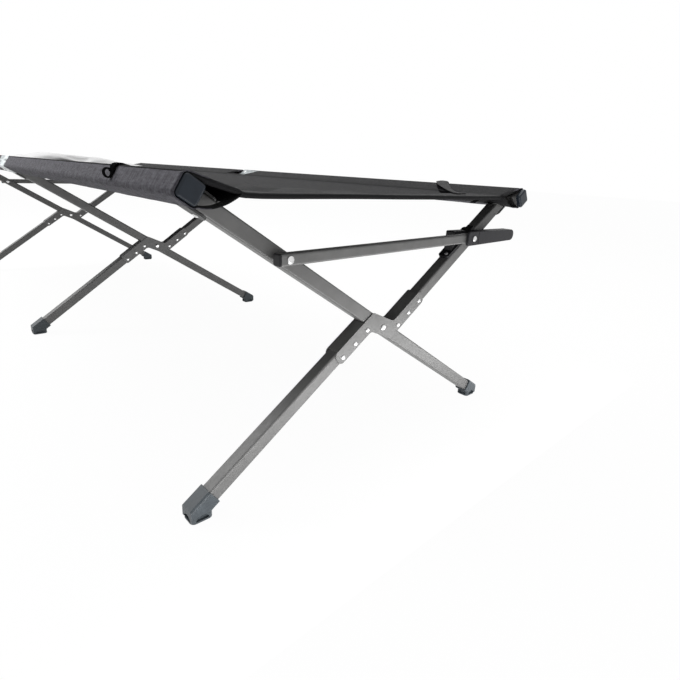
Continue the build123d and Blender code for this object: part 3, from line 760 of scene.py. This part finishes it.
def build_pillow():
    """Pale pillow at the head end, blown up as cloth and settled on the sheet."""
    low, high = (np.array(v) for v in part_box("head_pillow"))
    centre = (low + high) / 2
    size = high - low
    points, faces = pillow_cover(size[0] * COVER_EASE[0], size[1] * COVER_EASE[1], *COVER_GRID)
    flat = [(x, y) for x, y, _ in points]
    mesh = bpy.data.meshes.new("pillow")
    mesh.from_pydata(points, [], faces)
    item = bpy.data.objects.new("pillow", mesh)
    bpy.context.scene.collection.objects.link(item)
    spots = inflate(item, pressure=3.0, frames=24)
    reach = np.abs(spots).max(axis=0)
    spots[:, 0] *= size[0] / 2 / reach[0]
    spots[:, 1] *= size[1] / 2 / reach[1]
    rise = spots[:, 2] / np.abs(spots[:, 2]).max()
    for vertex, (x, y, _), t in zip(mesh.vertices, spots, rise):
        body = PILLOW_EDGE + (1 - PILLOW_EDGE) * t if t > 0 else PILLOW_EDGE * (1 + t)
        place_x, place_y = x + centre[0], y + centre[1]
        rest = panel_height(place_x, place_y) + CLOTH + PILLOW_LIFT
        vertex.co = (place_x, place_y, rest + PILLOW_HEIGHT * pillow_fill(x, y) * body)
    layer = mesh.uv_layers.new(name="flat")
    for loop in mesh.loops:
        layer.data[loop.index].uv = flat[loop.vertex_index]
    mesh.materials.append(PALE)
    for face in mesh.polygons:
        face.use_smooth = True
    modify(item, "SUBSURF", levels=1, render_levels=1)
    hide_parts("head_pillow")
    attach(item, "left_frame")
    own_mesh(item)


# Straps and tab
STRAP = 0.0014
STRAP_PLAY = 0.0004
STRAP_ARCH = 0.0012
STRAP_GRID = (70, 9)
# Black sheet of painted shadow beside the right strap: its thickness and lift
SHADOW_THICK = 0.0006
SHADOW_ROWS = 40
OVER_PANEL = 0.0012
TAB_X = (0.189, 0.205)
TAB_LENGTH = 0.0105
TAB_GRID = (6, 5)
TAB_THICK = 0.001
TAB_GAP = 0.0007
TAB_INSET = 0.004
TAB_LEAN = (0.1, 0.86, 0.5)  # sideways, back and down for each step along it
LEFT_STRAP_THICK = 0.002
LEFT_STRAP_GRID = (110, 6)
LEFT_STRAP_START = -0.752  # along the cot
LEFT_STRAP_WIDE = (0.017, 0.006)
LEFT_STRAP_TAPER = (0.25, 0.35)  # start and length, as shares of the strap
# Left strap's line across the cot, from the bed over the rail to its curled end
LEFT_STRAP = [
    (-0.3170, 0.4351),
    (-0.3220, 0.4364),
    (-0.3275, 0.4377),
    (-0.3330, 0.4390),
    (-0.3375, 0.4380),
    (-0.3402, 0.4354),
    (-0.3416, 0.4326),
    (-0.3425, 0.4301),
    (-0.3434, 0.4278),
    (-0.3446, 0.4254),
    (-0.3466, 0.4232),
    (-0.3493, 0.4223),
    (-0.3520, 0.4234),
    (-0.3538, 0.4262),
    (-0.3538, 0.4296),
    (-0.3518, 0.4322),
    (-0.3488, 0.4329),
    (-0.3465, 0.4314),
    (-0.3458, 0.4292),
]
# Right strap's two edges, from behind the rail's top down to the bed
RIGHT_STRAP_FAR = [
    (0.3415, -0.738, 0.4360),
    (0.3375, -0.738, 0.4388),
    (0.3310, -0.738, 0.4396),
    (0.3000, -0.7645, 0.4352),
    (0.2794, -0.7900, 0.4308),
    (0.2590, -0.8150, 0.4270),
    (0.2390, -0.8400, 0.4240),
    (0.2190, -0.8645, 0.4220),
    (0.1990, -0.8894, 0.4213),
]
RIGHT_STRAP_NEAR = [
    (0.3415, -0.765, 0.4360),
    (0.3375, -0.765, 0.4400),
    (0.3310, -0.765, 0.4413),
    (0.3200, -0.7760, 0.4385),
    (0.2990, -0.7970, 0.4325),
    (0.2800, -0.8150, 0.4275),
    (0.2570, -0.8390, 0.4235),
    (0.2330, -0.8670, 0.4218),
    (0.2090, -0.8960, 0.4214),
]
# Edges of the black sheet painted as the strap's shadow, beside the strap
SHADOW_FAR = [(0.314, -0.752), (0.288, -0.774), (0.272, -0.789), (0.250, -0.808), (0.226, -0.829)]
SHADOW_NEAR = [(0.323, -0.753), (0.302, -0.773), (0.284, -0.795), (0.264, -0.817), (0.243, -0.839)]


def strip_object(name, points, material, thickness):
    """Strap from a rows by columns grid of points."""
    steps = np.linalg.norm(np.diff(points.mean(axis=1), axis=0), axis=1)
    along = np.concatenate([[0], np.cumsum(steps)])
    wide = np.linalg.norm(points[:, -1] - points[:, 0], axis=1).mean()
    columns = points.shape[1]
    flat = [[(wide * c / (columns - 1), a) for c in range(columns)] for a in along]
    item = grid_object(name, points, flat, False, [material])
    modify(item, "SOLIDIFY", thickness=thickness, offset=0.0)
    modify(item, "BEVEL", width=thickness / 4, segments=2, limit_method="ANGLE")
    return item, (wide, along[-1])


def smooth_line(spots, count):
    """Curve through spots at even parameter steps."""
    spots = np.array(spots)
    ends = np.vstack([2 * spots[0] - spots[1], spots, 2 * spots[-1] - spots[-2]])
    line = []
    for place in np.linspace(0, len(spots) - 1, count):
        k = min(int(place), len(spots) - 2)
        t = place - k
        a, b, c, d = ends[k : k + 4]
        square = 2 * a - 5 * b + 4 * c - d
        cube = 3 * (b - c) + d - a
        line.append(b + 0.5 * t * (c - a + t * (square + t * cube)))
    return np.array(line)


def build_left_strap():
    """Narrow webbing strap over the left rail, its end curled up beside the sleeve; its black is partly
    painted shade.
    """
    rows, columns = LEFT_STRAP_GRID
    wide, narrow = LEFT_STRAP_WIDE
    start, length = LEFT_STRAP_TAPER
    points = np.zeros((rows, columns, 3))
    for r, (x, z) in enumerate(smooth_line(LEFT_STRAP, rows)):
        width = wide + (narrow - wide) * smooth_step((r / rows - start) / length)
        for c in range(columns):
            points[r, c] = (x, LEFT_STRAP_START + width * c / (columns - 1), z)
    # The left strap's black is partly its own colour, partly painted shade
    item, flat = strip_object("left_strap", points, WEBBING_AND_SHADE, LEFT_STRAP_THICK)
    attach(item, "left_frame")


def corner_height(x, y, path):
    """Height of the bed's cloth near its right rail."""
    if x > SEAM["right"][0]:
        order = np.argsort(path[:, 0])
        return float(np.interp(x, path[order, 0], path[order, 1]))
    return panel_height(x, y) + OVER_PANEL


def build_right_strap():
    """Loose strap from the right rail's top, lying across the bed's corner, with a black sheet beside
    it as painted shadow.
    """
    path = flap_path("right")
    rows, columns = STRAP_GRID
    far = smooth_line(RIGHT_STRAP_FAR, rows)
    near = smooth_line(RIGHT_STRAP_NEAR, rows)
    shadow_far = smooth_line(SHADOW_FAR, SHADOW_ROWS)
    shadow_near = smooth_line(SHADOW_NEAR, SHADOW_ROWS)
    strap = np.zeros((rows, columns, 3))
    shadow_sheet = np.zeros((SHADOW_ROWS, columns, 3))
    least = CLOTH / 2 + STRAP / 2 + STRAP_PLAY
    for c, share in enumerate(np.linspace(0, 1, columns)):
        for r in range(rows):
            x, y, z = far[r] * (1 - share) + near[r] * share
            z += STRAP_ARCH * math.sin(math.pi * share)
            if x < path[0, 0]:
                z = max(z, corner_height(x, y, path) + least)
            strap[r, c] = (x, y, z)
        for r in range(SHADOW_ROWS):
            x, y = shadow_far[r] * (1 - share) + shadow_near[r] * share
            shadow_sheet[r, c] = (x, y, corner_height(x, y, path) + CLOTH / 2 + SHADOW_THICK)
    layers = [
        # the right strap's lighter cloth is painted light
        ("right_strap", strap, LIT_STRAP_CLOTH, STRAP),
        # black sheet painted as the strap's shadow on the flap
        ("right_strap_painted_shadow", shadow_sheet, WEBBING_AND_SHADE, SHADOW_THICK),
    ]
    for name, points, material, thick in layers:
        item, flat = strip_object(name, points, material, thick)
        blend_bed(item)


def build_tab():
    """Small sewn tab under the near hem, leaning back."""
    rows, columns = TAB_GRID
    sideways, back, down = TAB_LEAN
    points = np.zeros((rows, columns, 3))
    for r, step in enumerate(np.linspace(0, TAB_LENGTH, rows)):
        for c, x in enumerate(np.linspace(*TAB_X, columns)):
            z = panel_height(x, -BED_END) - HEM_DROP - CLOTH / 2 - TAB_GAP - down * step
            points[r, c] = (x + sideways * step, -BED_END + TAB_INSET + back * step, z)
    item, flat = strip_object("hem_tab", points, WEBBING_AND_SHADE, TAB_THICK)
    blend_bed(item)


# Photograph's viewpoint: metres, and yaw, pitch and roll in radians
CAMERA_PLACE = (-0.549268, -1.386, 0.4424)
CAMERA_TURN = (0.76335, -0.34143, 0.06211)


def place_camera():
    """Camera at the photograph's viewpoint."""
    data = bpy.data.cameras.new("camera")
    data.lens = 24.667
    data.sensor_width = 36.0
    data.clip_start = 0.01
    data.clip_end = 200.0
    yaw, pitch, roll = CAMERA_TURN
    east, north, level = math.sin(yaw), math.cos(yaw), math.cos(pitch)
    ahead = Vector((east * level, north * level, math.sin(pitch)))
    right = Vector((north, -east, 0.0))
    up = right.cross(ahead)
    aim = Matrix((right, up, -ahead)).transposed()
    turn = Matrix.Rotation(roll, 3, "Z")
    item = bpy.data.objects.new("camera", data)
    item.matrix_world = Matrix.Translation(CAMERA_PLACE) @ (aim @ turn).to_4x4()
    bpy.context.scene.collection.objects.link(item)
    bpy.context.scene.camera = item


def area_light(name, place, target, size, power):
    """Soft lamp of a given width and height aimed at a point."""
    data = bpy.data.lights.new(name, "AREA")
    data.shape = "RECTANGLE"
    data.size, data.size_y = size
    data.energy = power
    item = bpy.data.objects.new(name, data)
    item.location = place
    aim = Vector(target) - Vector(place)
    item.rotation_euler = aim.to_track_quat("-Z", "Y").to_euler()
    item.visible_camera = False
    bpy.context.scene.collection.objects.link(item)


def seen_white(add, link):
    """1 where a camera, glossy or transmission ray looks straight at the backdrop."""
    path = add("ShaderNodeLightPath")
    first = add("ShaderNodeMath")
    first.operation = "MAXIMUM"
    link(path.outputs["Is Camera Ray"], first.inputs[0])
    link(path.outputs["Is Glossy Ray"], first.inputs[1])
    both = add("ShaderNodeMath")
    both.operation = "MAXIMUM"
    link(first.outputs["Value"], both.inputs[0])
    link(path.outputs["Is Transmission Ray"], both.inputs[1])
    return both.outputs["Value"]


FLOOR_REACH = 40.0
FLOOR_GREY = (0.45, 0.45, 0.45, 1)
FLOOR_GLOW = 1.075
FLOOR_WHITE = 0.9  # share of the glow where the floor is seen


def build_surround():
    """White surround that lights the cot only dimly."""
    world = bpy.data.worlds.new("studio")
    world.use_nodes = True
    bpy.context.scene.world = world
    add, link = world.node_tree.nodes.new, world.node_tree.links.new
    back = world.node_tree.nodes["Background"]
    back.inputs["Color"].default_value = (1, 1, 1, 1)
    strength = range_node(add, link, seen_white(add, link), low=0.18, high=1.0)
    link(strength, back.inputs["Strength"])


def build_floor():
    """White floor that keeps the cot's shadow."""
    mesh = bpy.data.meshes.new("floor")
    corners = [(x * FLOOR_REACH, y * FLOOR_REACH, 0) for x, y in ((-1, -1), (1, -1), (1, 1), (-1, 1))]
    mesh.from_pydata(corners, [], [(0, 1, 2, 3)])
    floor = bpy.data.objects.new("floor", mesh)
    bpy.context.scene.collection.objects.link(floor)
    material = bpy.data.materials.new("floor")
    material.use_nodes = True
    tree = material.node_tree
    add, link = tree.nodes.new, tree.links.new
    shader = shader_of(material)
    shader.inputs["Base Color"].default_value = FLOOR_GREY
    shader.inputs["Roughness"].default_value = 0.9
    glow = add("ShaderNodeEmission")
    glow.inputs["Strength"].default_value = FLOOR_GLOW
    mix = add("ShaderNodeMixShader")
    share = range_node(add, link, seen_white(add, link), low=0.0, high=FLOOR_WHITE)
    link(share, mix.inputs["Fac"])
    link(shader.outputs["BSDF"], mix.inputs[1])
    link(glow.outputs["Emission"], mix.inputs[2])
    output = next(n for n in tree.nodes if n.type == "OUTPUT_MATERIAL")
    link(mix.outputs["Shader"], output.inputs["Surface"])
    mesh.materials.append(material)


def build_lamps():
    """Soft lamps above, to the left of the head end and low before the foot end."""
    area_light("top", (0.0, 0.3, 3.2), target=(0, 0.3, 0), size=(3.0, 3.0), power=60.0)
    area_light("left", (-1.4, 1.7, 1.8), target=(-0.33, 0.8, 0.43), size=(1.2, 1.2), power=28.0)
    area_light("low", (0.1, -1.13, 0.012), target=(0.1, -0.9, 0.15), size=(1.2, 0.14), power=3.3)


paint_nodes()
for rail_side in ("left", "right"):
    for rail_end in ("near", "far"):
        build_sleeve(rail_side, rail_end)
build_bed()
build_pillow()
build_left_strap()
build_right_strap()
build_tab()
place_camera()
build_surround()
build_floor()
bpy.context.scene.view_settings.view_transform = "Standard"
build_lamps()
